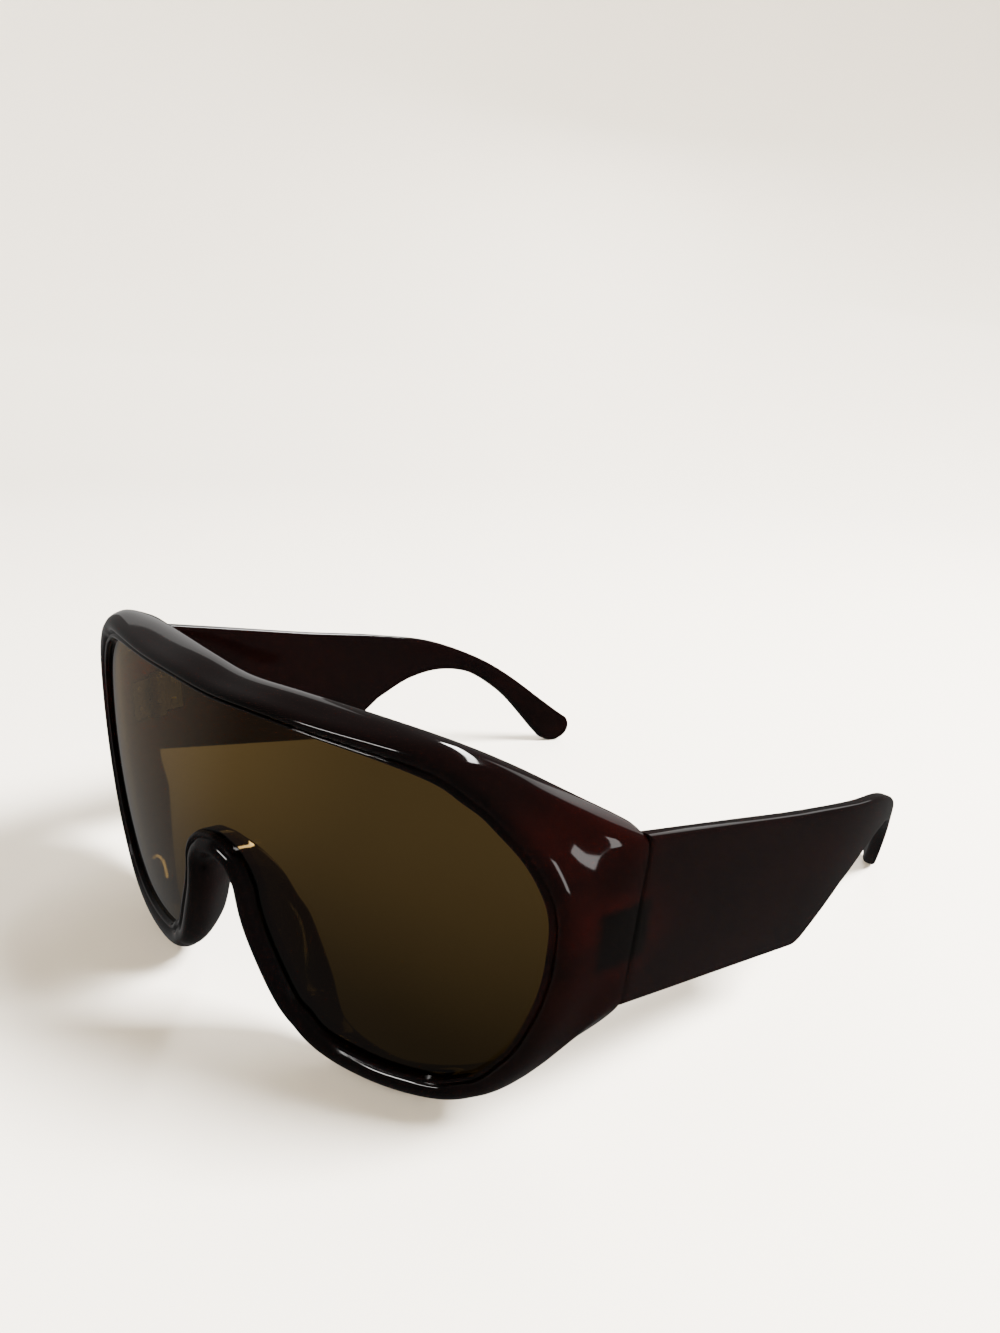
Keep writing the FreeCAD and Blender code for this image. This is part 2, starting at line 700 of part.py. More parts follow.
def add_hinge_tools(side):
    """What the hinge takes out of a temple or the front: leaf pocket, barrel notch and pin holes."""
    pocket = add_primitive(
        "Part::Box", f"{side}_leaf_pocket",
        Length="sizes.cut_overrun + sizes.pivot_inset + sizes.leaf_thickness",
        Width="sizes.cut_overrun + sizes.leaf_length + sizes.leaf_clearance",
        Height="sizes.hinge_height + 2 * sizes.leaf_clearance")
    far_end = size("leaf_length") + size("leaf_clearance")
    start = -size("cut_overrun") if side == "temple" else -far_end
    put_in_hinge(pocket, side, vector(-size("cut_overrun"), start, -size("leaf_clearance")))
    notch = add_primitive(
        "Part::Cylinder", f"{side}_barrel_notch",
        Radius="sizes.barrel_radius + sizes.notch_clearance",
        Height="sizes.hinge_height + sizes.screw_head_height + 2 * sizes.notch_clearance")
    put_in_hinge(notch, side, vector(0, 0, -size("notch_clearance")))
    tools = [pocket, notch]
    for level in ("lower", "upper"):
        hole = add_primitive(
            "Part::Cylinder", f"{side}_{level}_pin_hole",
            Radius="sizes.pin_radius + sizes.pin_clearance",
            Height="sizes.pin_length + sizes.pin_clearance")
        tools.append(put_in_hinge(hole, side, pin_offset(side, level, size("pivot_inset")), ACROSS))
    return add_fusion(f"{side}_hinge_tools", tools)


# The pieces

front_blank = add_feature("front_blank", make_front_blank())
temple_blank = add_feature("temple_blank", make_temple_blank())
left_front_tools = add_hinge_tools("front")
right_front_tools = add_mirrored("right_front_hinge_tools", left_front_tools)
front_tools = add_fusion("front_tools", [add_seam_trim(), left_front_tools, right_front_tools])
pieces = [
    add_boolean("Part::Cut", "front_frame", front_blank, front_tools),
    make_lens(),
]
left_pieces = [
    add_boolean("Part::Cut", "left_temple", temple_blank, add_hinge_tools("temple")),
    make_leaf("left_front_hinge", "front"),
    make_leaf("left_temple_hinge", "temple"),
    make_screw("left_hinge_screw"),
]
for pin_side in ("front", "temple"):
    for pin_level in ("lower", "upper"):
        left_pieces.append(make_pin(f"left_{pin_side}_{pin_level}_pin", pin_side, pin_level))
pieces += left_pieces
pieces += [add_mirrored(piece.Name.replace("left", "right", 1), piece) for piece in left_pieces]
doc.recompute()

for item in doc.Objects:
    if "Invalid" in item.State or "Error" in item.State:
        raise RuntimeError(f"{item.Name} failed: {item.State}")
for piece in pieces:
    piece.Label = piece.Name
    if piece.Shape.isNull() or not piece.Shape.isValid():
        raise RuntimeError(f"{piece.Name} is not a valid shape")
    if len(piece.Shape.Solids) != 1:
        raise RuntimeError(f"{piece.Name} has {len(piece.Shape.Solids)} solids")

os.makedirs("parts", exist_ok=True)
for piece in pieces:
    piece.Shape.exportStep(f"parts/{piece.Label}.step")
    print(f"{piece.Label}: {piece.Shape.Volume:.1f} cubic mm")
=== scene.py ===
import json
import logging
import math
from collections.abc import Sequence
from dataclasses import dataclass, field
from enum import Enum
from typing import Any, NamedTuple

import bmesh
import bpy
from mathutils import Matrix, Vector


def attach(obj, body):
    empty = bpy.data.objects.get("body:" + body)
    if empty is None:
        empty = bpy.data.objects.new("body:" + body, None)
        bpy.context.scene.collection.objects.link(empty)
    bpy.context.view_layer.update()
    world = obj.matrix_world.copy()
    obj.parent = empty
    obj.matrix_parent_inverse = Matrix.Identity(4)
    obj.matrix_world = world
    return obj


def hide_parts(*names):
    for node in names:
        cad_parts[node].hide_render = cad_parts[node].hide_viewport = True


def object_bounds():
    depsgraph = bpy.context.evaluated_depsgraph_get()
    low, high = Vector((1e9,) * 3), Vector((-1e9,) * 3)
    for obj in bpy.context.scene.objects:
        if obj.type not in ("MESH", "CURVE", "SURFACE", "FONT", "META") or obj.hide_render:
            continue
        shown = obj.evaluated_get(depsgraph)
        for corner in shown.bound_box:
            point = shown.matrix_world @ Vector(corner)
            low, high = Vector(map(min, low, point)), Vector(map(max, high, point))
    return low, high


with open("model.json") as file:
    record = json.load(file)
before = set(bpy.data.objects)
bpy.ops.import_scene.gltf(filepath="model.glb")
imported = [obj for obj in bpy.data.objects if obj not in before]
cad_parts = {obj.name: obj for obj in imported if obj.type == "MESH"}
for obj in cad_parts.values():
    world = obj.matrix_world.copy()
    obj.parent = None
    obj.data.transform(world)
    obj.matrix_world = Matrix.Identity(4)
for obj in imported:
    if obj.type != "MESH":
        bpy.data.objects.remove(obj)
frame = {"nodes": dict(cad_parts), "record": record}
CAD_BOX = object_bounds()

log = logging.getLogger("shield_sunglasses")

# Metres. +Z is up, the front faces -Y and the wearer's left is +X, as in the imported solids.
MM = 0.001

# Points nearer than these count as one: after a cut, a sweep or a carving, at a mirror or a pole
CUT_NEAR = 0.001 * MM
SWEEP_NEAR = 0.002 * MM
CARVE_NEAR = 0.004 * MM
POLE_NEAR = 0.01 * MM

# Edges that turn more than this are shaded sharp
SHARP_DEGREES = 38.0

Colour = tuple[float, float, float, float]
Fade = tuple[float, float]
SharePair = tuple[float, float]


class Side(Enum):
    """The wearer's left and right, with the sign of X there."""

    LEFT = 1
    RIGHT = -1

    @property
    def prefix(self) -> str:
        """Start of the names of this side's nodes."""
        return self.name.lower()


class Slot(Enum):
    """Material slots of the record."""

    FRAME = "frame_plastic"
    LENS = "lens_tint"
    HINGE = "hinge_metal"
    FASTENER = "fastener_metal"


# Shader writing


class Value:
    """A shader socket that takes part in Python sums."""

    def __init__(self, maker: "ShaderMaker", socket: bpy.types.NodeSocket) -> None:
        """Wraps an output socket of a maker's tree."""
        self.maker = maker
        self.socket = socket

    def _math(self, operation: str, first: Any, second: Any) -> "Value":
        """Adds a Math node for one operator."""
        return self.maker.node("ShaderNodeMath", {"operation": operation}, {0: first, 1: second})

    def __add__(self, other: Any) -> "Value":
        """self + other."""
        return self._math("ADD", self, other)

    __radd__ = __add__

    def __mul__(self, other: Any) -> "Value":
        """self * other."""
        return self._math("MULTIPLY", self, other)

    __rmul__ = __mul__

    def __sub__(self, other: Any) -> "Value":
        """self - other."""
        return self._math("SUBTRACT", self, other)

    def __rsub__(self, other: Any) -> "Value":
        """other - self."""
        return self._math("SUBTRACT", other, self)

    def absolute(self) -> "Value":
        """Size without sign."""
        return self._math("ABSOLUTE", self, 0.0)

    def smooth_step(self, low: float, high: float) -> "Value":
        """Rises smoothly from 0 at low to 1 at high.

        Args:
            low: Value that gives 0.
            high: Value that gives 1.

        Returns:
            The eased value.
        """
        return self.maker.node(
            "ShaderNodeMapRange",
            {"interpolation_type": "SMOOTHSTEP"},
            {"Value": self, "From Min": low, "From Max": high},
        )


class ShaderMaker:
    """Makes the nodes of one material or of the world."""

    def __init__(self, owner: bpy.types.Material | bpy.types.World) -> None:
        """Starts its owner with an empty tree.

        Args:
            owner: What the tree belongs to.
        """
        self.owner = owner
        self.owner.use_nodes = True
        self.tree = self.owner.node_tree
        self.tree.nodes.clear()

    @classmethod
    def material(cls, name: str) -> "ShaderMaker":
        """Starts a new material."""
        return cls(bpy.data.materials.new(name))

    def node(
        self, kind: str, settings: dict[str, Any], inputs: dict[Any, Any], output: Any = 0
    ) -> Value:
        """Adds a node.

        Args:
            kind: The node's type.
            settings: Its own properties, set before its sockets.
            inputs: Socket name or number to a number, colour or Value.
            output: Socket name or number to hand back.

        Returns:
            The chosen output.
        """
        made = self.tree.nodes.new(kind)
        for key, setting in settings.items():
            setattr(made, key, setting)
        for key, given in inputs.items():
            if isinstance(given, Value):
                self.tree.links.new(given.socket, made.inputs[key])
            else:
                made.inputs[key].default_value = given
        return Value(self, made.outputs[output])

    def place(self, output: str = "Object") -> Value:
        """A place on the piece, in its own coordinates."""
        return self.node("ShaderNodeTexCoord", {}, {}, output)

    def along(self, axis: str, output: str = "Object") -> Value:
        """One coordinate of the place on the piece."""
        return self.node("ShaderNodeSeparateXYZ", {}, {"Vector": self.place(output)}, axis)

    def noise(
        self, scale: float, detail: float, stretch: Sequence[float] = (1.0, 1.0, 1.0)
    ) -> Value:
        """Fine variation in object space.

        Args:
            scale: Features per metre.
            detail: Octaves.
            stretch: Multiplies the coordinates, so a small number draws the pattern out.

        Returns:
            A value about 0.5.
        """
        where = self.node("ShaderNodeMapping", {}, {"Vector": self.place(), "Scale": stretch})
        return self.node(
            "ShaderNodeTexNoise", {}, {"Vector": where, "Scale": scale, "Detail": detail}
        )

    def blend(self, share: Value, first: Colour, second: Colour) -> Value:
        """Colour between two, by a share from 0 to 1."""
        return self.node(
            "ShaderNodeMix", {"data_type": "RGBA"}, {"Factor": share, 6: first, 7: second}, 2
        )

    def bump(self, height: Value, strength: float, distance: float) -> Value:
        """Surface normal with a relief."""
        return self.node(
            "ShaderNodeBump", {}, {"Height": height, "Strength": strength, "Distance": distance}
        )

    def finish(self, **inputs: Any) -> bpy.types.Material:
        """Ends in a Principled shader.

        Args:
            inputs: Its sockets, underscores standing for spaces in their names.

        Returns:
            The material.
        """
        named = {key.replace("_", " "): given for key, given in inputs.items()}
        shader = self.node("ShaderNodeBsdfPrincipled", {}, named)
        self.show(shader, "ShaderNodeOutputMaterial")
        return self.owner

    def show(self, shader: Value, kind: str) -> None:
        """Connects a shader to an output node of that type."""
        made = self.tree.nodes.new(kind)
        self.tree.links.new(shader.socket, made.inputs["Surface"])


def rgba(red: float, green: float, blue: float) -> Colour:
    """An opaque colour."""
    return (red, green, blue, 1.0)


# Finishes


@dataclass(frozen=True)
class PolishedPlastic:
    """Moulded and polished plastic, so dark a red brown that it looks black."""

    name: str = "polished_oxblood_plastic"
    body: Colour = rgba(0.0005, 0.0003, 0.00027)
    # The plastic's deep red: a little of it tints all of it at random, much more of it is the
    # painted red glow in the end pieces.
    red_tone_and_painted_glow: Colour = rgba(0.0052, 0.00045, 0.0003)
    body_red: float = 0.06
    flow_red: float = 0.12
    # Painted red glow in the end pieces: its shares, and the height over which it grows stronger
    # towards the top.
    painted_glow_base: float = 0.14
    painted_glow_flow: float = 0.68
    end_fade: Fade = (54 * MM, 66 * MM)
    painted_glow_rise: Fade = (20 * MM, 44 * MM)
    seam_y: float = -52.5 * MM
    seam_fade: Fade = (12 * MM, -6 * MM)
    # Painted shade of the hinge: the painted glow is taken out where the hinge sits inside each end
    # piece.
    hinge_shade_z: float = 39.8 * MM
    hinge_shade_shift: float = 2 * MM
    hinge_shade_length_fade: Fade = (7 * MM, 4.5 * MM)
    hinge_shade_height_fade: Fade = (6 * MM, 4.5 * MM)
    flow_scale: float = 55.0
    flow_detail: float = 3.0
    flow_stretch: tuple[float, float, float] = (0.5, 0.5, 1.4)
    flow_fade: Fade = (0.3, 0.75)
    roughness: float = 0.045
    haze: float = 0.04
    haze_scale: float = 900.0
    haze_detail: float = 4.0
    refraction: float = 1.5
    ripple_scale: float = 260.0
    ripple_detail: float = 1.0
    ripple_strength: float = 0.02
    ripple_height: float = 0.2 * MM

    def material(self) -> bpy.types.Material:
        """Makes flow marks, a painted red glow in the thick end pieces, stronger up top, and the
        hinge's painted shade in it.

        Returns:
            The material.
        """
        maker = ShaderMaker.material(self.name)
        flow_noise = maker.noise(self.flow_scale, self.flow_detail, self.flow_stretch)
        flow = flow_noise.smooth_step(*self.flow_fade)
        ends = maker.along("X").absolute().smooth_step(*self.end_fade)
        upper = maker.along("Z").smooth_step(*self.painted_glow_rise)
        back = maker.along("Y") - self.seam_y
        front = back.smooth_step(*self.seam_fade)
        # Painted hinge shade: a block about the hinge inside each end piece.
        from_hinge_shade = (maker.along("Z") - self.hinge_shade_z).absolute()
        painted_hinge_shade = (back + self.hinge_shade_shift).absolute().smooth_step(*self.hinge_shade_length_fade) * (
            from_hinge_shade.smooth_step(*self.hinge_shade_height_fade)
        )
        # Painted glow: red light painted into the end pieces, stronger towards the top and in the
        # flow marks.
        painted_end_glow = ends * front * upper * (self.painted_glow_base + flow * self.painted_glow_flow)
        red = self.body_red + flow * self.flow_red + painted_end_glow
        ripple = maker.noise(self.ripple_scale, self.ripple_detail)
        return maker.finish(
            # Red share of plain tone and painted glow, less the painted hinge shade, mixes near
            # black with deep red.
            Base_Color=maker.blend(red * (1.0 - painted_hinge_shade * ends), self.body, self.red_tone_and_painted_glow),
            Roughness=self.roughness + maker.noise(self.haze_scale, self.haze_detail) * self.haze,
            IOR=self.refraction,
            Normal=maker.bump(ripple, self.ripple_strength, self.ripple_height),
        )


@dataclass(frozen=True)
class AmberTint:
    """Clear plastic tinted amber brown, darker towards its lower edge."""

    name: str = "amber_brown_lens"
    upper: Colour = rgba(0.73, 0.465, 0.15)
    lower: Colour = rgba(0.15, 0.088, 0.017)
    height_fade: Fade = (8 * MM, 58 * MM)
    cloud: float = 0.12
    cloud_scale: float = 40.0
    cloud_detail: float = 2.0
    roughness: float = 0.012
    haze: float = 0.02
    haze_scale: float = 700.0
    haze_detail: float = 3.0
    refraction: float = 1.49

    def material(self) -> bpy.types.Material:
        """Makes a tint that fades with height, on a polished surface.

        Returns:
            The material.
        """
        maker = ShaderMaker.material(self.name)
        cloud = (maker.noise(self.cloud_scale, self.cloud_detail) - 0.5) * self.cloud
        height = maker.along("Z").smooth_step(*self.height_fade)
        return maker.finish(
            Base_Color=maker.blend(height + cloud, self.lower, self.upper),
            Roughness=self.roughness + maker.noise(self.haze_scale, self.haze_detail) * self.haze,
            IOR=self.refraction,
            Transmission_Weight=1.0,
        )


@dataclass(frozen=True)
class BrushedSteel:
    """Satin steel with fine lines along the hinge."""

    name: str
    light: Colour
    dark: Colour
    line_scale: float = 4200.0
    line_stretch: tuple[float, float, float] = (1.0, 1.0, 0.06)
    line_dark: float = 0.6
    line_rough: float = 0.14
    line_relief: float = 0.12
    line_height: float = 0.02 * MM
    patch_scale: float = 380.0
    patch_fade: Fade = (0.4, 0.75)
    patch_dark: float = 0.35
    patch_rough: float = 0.12
    detail: float = 3.0
    roughness: float = 0.22

    def material(self) -> bpy.types.Material:
        """Makes drawn-out lines in colour, roughness and relief, with dull patches.

        Returns:
            The material.
        """
        maker = ShaderMaker.material(self.name)
        lines = maker.noise(self.line_scale, self.detail, self.line_stretch)
        patches = maker.noise(self.patch_scale, self.detail).smooth_step(*self.patch_fade)
        darkness = lines * self.line_dark + patches * self.patch_dark
        return maker.finish(
            Base_Color=maker.blend(darkness, self.light, self.dark),
            Metallic=1.0,
            Roughness=self.roughness + lines * self.line_rough + patches * self.patch_rough,
            Normal=maker.bump(lines, self.line_relief, self.line_height),
        )


@dataclass(frozen=True)
class PalePaper:
    """Seamless paper for the floor and the backdrop."""

    name: str = "pale_seamless_paper"
    light: Colour = rgba(0.8, 0.75, 0.665)
    dark: Colour = rgba(0.785, 0.735, 0.65)
    cloud_scale: float = 3.0
    cloud_detail: float = 2.0
    cloud_fade: Fade = (0.3, 0.7)
    roughness: float = 0.75

    def material(self) -> bpy.types.Material:
        """Makes a matt surface with slight clouding.

        Returns:
            The material.
        """
        maker = ShaderMaker.material(self.name)
        cloud = maker.noise(self.cloud_scale, self.cloud_detail).smooth_step(*self.cloud_fade)
        return maker.finish(
            Base_Color=maker.blend(cloud, self.light, self.dark), Roughness=self.roughness
        )


# Shapes that several pieces share


def smooth_through(points: Sequence[Vector], steps: int) -> list[Vector]:
    """Smooth open curve through points of any number of coordinates.

    Args:
        points: What the curve passes through, in order.
        steps: Samples from each point to the next.

    Returns:
        The samples, with the last point.
    """
    least_gap = 1e-9
    ahead = points[0] * 2 - points[1]
    beyond = points[-1] * 2 - points[-2]
    row = [ahead, *points, beyond]
    gaps = [max((there - here).length, least_gap) for here, there in zip(row, row[1:])]
    slopes = []
    for i in range(1, len(row) - 1):
        before, after = gaps[i - 1], gaps[i]
        rise_after = (row[i + 1] - row[i]) * (before / after)
        rise_before = (row[i] - row[i - 1]) * (after / before)
        slopes.append((rise_after + rise_before) / (before + after))
    made = []
    for i in range(len(points) - 1):
        gap = gaps[i + 1]
        for step in range(steps):
            t = step / steps
            made.append(
                points[i] * (2 * t**3 - 3 * t**2 + 1)
                + slopes[i] * (gap * (t**3 - 2 * t**2 + t))
                + points[i + 1] * (3 * t**2 - 2 * t**3)
                + slopes[i + 1] * (gap * (t**3 - t**2))
            )
    return [*made, points[-1].copy()]


def draw_line(
    bm: bmesh.types.BMesh, points: Sequence[Vector], closed: bool
) -> tuple[list[bmesh.types.BMVert], list[bmesh.types.BMEdge]]:
    """Draws a line of edges.

    Args:
        bm: The mesh to draw in.
        points: The line's corners.
        closed: Whether the last corner joins the first.

    Returns:
        The line's vertices and its edges.
    """
    verts = [bm.verts.new(point) for point in points]
    following = verts[1:] + verts[:1] if closed else verts[1:]
    return verts, [bm.edges.new(pair) for pair in zip(verts, following)]


def everything(bm: bmesh.types.BMesh) -> list[Any]:
    """All vertices, edges and faces."""
    return [*bm.verts, *bm.edges, *bm.faces]


def round_edges(
    bm: bmesh.types.BMesh, edges: Sequence[bmesh.types.BMEdge], radius: float, segments: int
) -> None:
    """Rounds edges.

    Args:
        bm: The mesh that they belong to.
        edges: The edges.
        radius: How far the rounding reaches from each edge.
        segments: Steps of the rounding.
    """
    bmesh.ops.bevel(
        bm, geom=edges, offset=radius, offset_type="OFFSET", affect="EDGES",
        segments=segments, profile=0.5, material=-1, clamp_overlap=True,
    )


def mark_sharp(bm: bmesh.types.BMesh, degrees: float) -> None:
    """Leaves edges sharp that are open or turn far.

    Args:
        bm: The mesh to mark.
        degrees: Edges that turn more than this stay sharp.
    """
    for edge in bm.edges:
        inside = len(edge.link_faces) == 2
        edge.smooth = inside and edge.calc_face_angle() < math.radians(degrees)


def mesh_piece(
    name: str, bm: bmesh.types.BMesh, sharp_degrees: float = SHARP_DEGREES
) -> bpy.types.Object:
    """Turns a bmesh into an object at the origin, smooth but for its sharp edges.

    Args:
        name: The piece's name.
        bm: Its shape, which is freed.
        sharp_degrees: Edges that turn more than this stay sharp.

    Returns:
        The linked object.
    """
    for face in bm.faces:
        face.smooth = True
    mark_sharp(bm, sharp_degrees)
    mesh = bpy.data.meshes.new(name)
    bm.to_mesh(mesh)
    bm.free()
    piece = bpy.data.objects.new(name, mesh)
    bpy.context.scene.collection.objects.link(piece)
    return piece


def carve(piece: bpy.types.Object, tools: Sequence[bpy.types.Object]) -> None:
    """Cuts tools out of a piece and removes them.

    Args:
        piece: The piece to cut, whose mesh is replaced.
        tools: Closed shapes to take away.
    """
    for tool in tools:
        cut = piece.modifiers.new(tool.name, "BOOLEAN")
        cut.operation = "DIFFERENCE"
        cut.solver = "EXACT"
        cut.object = tool
    evaluated = piece.evaluated_get(bpy.context.evaluated_depsgraph_get())
    carved = bpy.data.meshes.new_from_object(evaluated)
    piece.modifiers.clear()
    piece.data = carved
    for tool in tools:
        bpy.data.objects.remove(tool)
    bm = bmesh.new()
    bm.from_mesh(carved)
    bmesh.ops.remove_doubles(bm, verts=bm.verts, dist=CARVE_NEAR)
    mark_sharp(bm, SHARP_DEGREES)
    bm.to_mesh(carved)
    bm.free()


def dress(piece: bpy.types.Object, material: bpy.types.Material) -> None:
    """Gives a piece its material.

    Args:
        piece: The piece.
        material: Its only material.
    """
    piece.data.materials.clear()
    piece.data.materials.append(material)


def direction(azimuth: float, elevation: float) -> Vector:
    """Unit vector for an angle from the front towards +X and an angle above the floor."""
    level = math.cos(elevation)
    return Vector((math.sin(azimuth) * level, -math.cos(azimuth) * level, math.sin(elevation)))


@dataclass(frozen=True)
class LensArc:
    """The surface that the lens and the front follow, turned about an upright axis."""

    radius: float = 136 * MM
    rise_radius: float = 240 * MM
    front_y: float = -80.97 * MM
    half_width: float = 64 * MM
    height: float = 59.2 * MM
    foot: float = 5.8 * MM
    thickness: float = 2.0 * MM
    seat: float = 1.2 * MM

    @property
    def middle_z(self) -> float:
        """Height at which the lens stands out furthest."""
        return self.foot + self.height / 2

    def y_at(self, x: float, z: float, depth: float) -> float:
        """Place in depth of a surface so far behind the lens's front."""
        fall_back = self.rise_radius - math.sqrt(self.rise_radius**2 - (z - self.middle_z) ** 2)
        return self.front_y + self.radius - math.sqrt((self.radius - fall_back - depth) ** 2 - x**2)


class Shares(NamedTuple):
    """Section of the front at one place on the lens edge, in shares of its sizes."""

    across: float
    up: float
    rim: float
    rear_out: float
    rear_back: float
    wing: float
    seam: float
    takeover: float


# From the middle of the brow round the wearer's left to the middle of the nose arch
STATIONS = [
    Shares(0.000, 0.975, 0.50, 0.46, 0.85, 0.00, 0.00, 0.00),
    Shares(0.195, 0.980, 0.51, 0.47, 0.90, 0.00, 0.00, 0.00),
    Shares(0.380, 0.975, 0.56, 0.49, 0.95, 0.00, 0.00, 0.00),
    Shares(0.545, 0.967, 0.68, 0.47, 0.95, 0.00, 0.00, 0.00),
    Shares(0.690, 0.947, 0.86, 0.50, 0.95, 0.00, 0.00, 0.08),
    Shares(0.785, 0.907, 0.87, 0.66, 0.95, 0.00, 0.00, 0.38),
    Shares(0.860, 0.857, 0.86, 0.68, 0.95, 0.00, 0.00, 0.78),
    Shares(0.940, 0.775, 0.88, 0.62, 0.95, 0.00, 0.06, 1.00),
    Shares(0.990, 0.675, 0.89, 0.61, 0.95, 0.00, 0.27, 1.00),
    Shares(1.000, 0.545, 0.89, 0.60, 0.95, 0.00, 0.52, 1.00),
    Shares(0.982, 0.390, 0.87, 0.59, 0.95, 0.00, 0.78, 1.00),
    Shares(0.938, 0.245, 0.85, 0.58, 0.95, 0.00, 0.96, 1.00),
    Shares(0.878, 0.137, 0.82, 0.62, 0.95, 0.00, 1.00, 0.80),
    Shares(0.800, 0.058, 0.85, 0.75, 0.85, 0.00, 1.00, 0.38),
    Shares(0.695, 0.016, 0.95, 0.80, 0.70, 0.00, 1.00, 0.08),
    Shares(0.570, 0.004, 1.00, 0.77, 0.60, 0.00, 1.00, 0.00),
    Shares(0.440, 0.014, 1.03, 0.68, 0.60, 0.10, 1.00, 0.00),
    Shares(0.335, 0.070, 1.03, 0.48, 0.60, 0.50, 1.00, 0.00),
    Shares(0.260, 0.163, 1.03, 0.27, 0.60, 0.95, 1.00, 0.00),
    Shares(0.205, 0.280, 1.00, 0.18, 0.60, 1.00, 1.00, 0.00),
    Shares(0.172, 0.373, 0.93, 0.20, 0.60, 0.70, 1.00, 0.00),
    Shares(0.153, 0.456, 0.89, 0.30, 0.60, 0.38, 1.00, 0.00),
    Shares(0.114, 0.511, 0.88, 0.42, 0.60, 0.16, 1.00, 0.00),
    Shares(0.060, 0.545, 0.87, 0.54, 0.60, 0.04, 1.00, 0.00),
    Shares(0.000, 0.557, 0.86, 0.58, 0.60, 0.00, 1.00, 0.00),
]


@dataclass
class RimTrack:
    """The stations drawn out into a smooth run round half the lens edge."""

    arc: LensArc
    steps: int = 8
    samples: list[Vector] = field(init=False)

    def __post_init__(self) -> None:
        """Smooths the shares, with mirrored neighbours at both ends."""
        rows = [Vector(row) for row in STATIONS]
        before, after = rows[1].copy(), rows[-2].copy()
        before[0], after[0] = -before[0], -after[0]
        run = smooth_through([before, *rows, after], self.steps)
        self.samples = run[self.steps : -self.steps]
        self.samples[0][0] = self.samples[-1][0] = 0.0

    def edge(self, sample: Vector) -> Vector:
        """Place on the lens edge, seen from the front."""
        across, up = sample[0], sample[1]
        return Vector((across * self.arc.half_width, 0, self.arc.foot + up * self.arc.height))

    def outward(self, index: int) -> Vector:
        """Direction away from the lens at one sample, seen from the front.

        Args:
            index: Number of the sample.

        Returns:
            A unit vector.
        """
        last = len(self.samples) - 1
        here = self.edge(self.samples[max(index - 1, 0)])
        there = self.edge(self.samples[min(index + 1, last)])
        along = there - here
        if index in (0, last):
            along.z = 0.0
        return Vector((-along.z, 0, along.x)).normalized()


@dataclass
class Hinge:
    """Where a hinge is let into the plastic, about the left pivot."""

    arc: LensArc
    pivot_x: float = 66.3 * MM
    seam_y: float = -52.53 * MM
    middle_z: float = 39.8 * MM
    height: float = 9.0 * MM
    inset: float = 1.0 * MM
    leaf_length: float = 7.0 * MM
    leaf_thickness: float = 0.9 * MM
    leaf_clearance: float = 0.1 * MM
    notch_radius: float = 2.0 * MM
    notch_room: float = 0.3 * MM
    notch_segments: int = 48
    head_height: float = 0.8 * MM
    overrun: float = 6.0 * MM

    def place(self, side: Side, turn: float) -> Matrix:
        """Hinge coordinates at one side.

        Args:
            side: The wearer's side.
            turn: Angle about the pivot.

        Returns:
            The matrix from the hinge to the whole part.
        """
        mirrored = Matrix.Scale(side.value, 4, Vector((1, 0, 0)))
        foot = Vector((self.pivot_x, self.seam_y, self.middle_z - self.height / 2))
        return mirrored @ Matrix.Translation(foot) @ Matrix.Rotation(turn, 4, "Z")

    def front_turn(self) -> float:
        """Angle of the leaf that lies along the inside of the end piece.

        Returns:
            The angle about the pivot.
        """
        lip_x = self.arc.half_width
        lip_y = self.arc.y_at(lip_x, self.arc.middle_z, self.arc.thickness)
        return -math.atan2(self.pivot_x + self.inset - lip_x, self.seam_y - lip_y)

    def pocket(self, side: Side, turn: float, low_y: float, high_y: float) -> bpy.types.Object:
        """Block that a leaf lies in.

        Args:
            side: The wearer's side.
            turn: The leaf's angle about the pivot.
            low_y: Start of the block along the leaf.
            high_y: End of the block along the leaf.

        Returns:
            A closed shape to cut with.
        """
        low = Vector((-self.overrun, low_y, -self.leaf_clearance))
        high = Vector((self.inset + self.leaf_thickness, high_y, self.height + self.leaf_clearance))
        bm = bmesh.new()
        bmesh.ops.create_cube(bm, size=1.0)
        bmesh.ops.scale(bm, vec=high - low, verts=bm.verts)
        bmesh.ops.translate(bm, vec=(low + high) / 2, verts=bm.verts)
        bmesh.ops.transform(bm, matrix=self.place(side, turn), verts=bm.verts)
        bmesh.ops.recalc_face_normals(bm, faces=bm.faces)
        return mesh_piece(f"pocket_{side.prefix}", bm)

    def notch(self, side: Side) -> bpy.types.Object:
        """Round room for the barrels and the screw's head.

        Args:
            side: The wearer's side.

        Returns:
            A closed shape to cut with.
        """
        depth = self.height + self.head_height + 2 * self.notch_room
        bm = bmesh.new()
        bmesh.ops.create_cone(
            bm, cap_ends=True, segments=self.notch_segments,
            radius1=self.notch_radius, radius2=self.notch_radius, depth=depth,
        )
        lift = depth / 2 - self.notch_room
        bmesh.ops.translate(bm, vec=Vector((0, 0, lift)), verts=bm.verts)
        bmesh.ops.transform(bm, matrix=self.place(side, 0.0), verts=bm.verts)
        bmesh.ops.recalc_face_normals(bm, faces=bm.faces)
        return mesh_piece(f"notch_{side.prefix}", bm)

    def front_tools(self, side: Side) -> list[bpy.types.Object]:
        """What one hinge takes out of the front."""
        far = self.leaf_length + self.leaf_clearance
        return [self.pocket(side, self.front_turn(), -far, self.overrun), self.notch(side)]

    def temple_tools(self, side: Side) -> list[bpy.types.Object]:
        """What one hinge takes out of a temple."""
        far = self.leaf_length + self.leaf_clearance
        return [self.pocket(side, 0.0, -self.overrun, far), self.notch(side)]


# Pieces


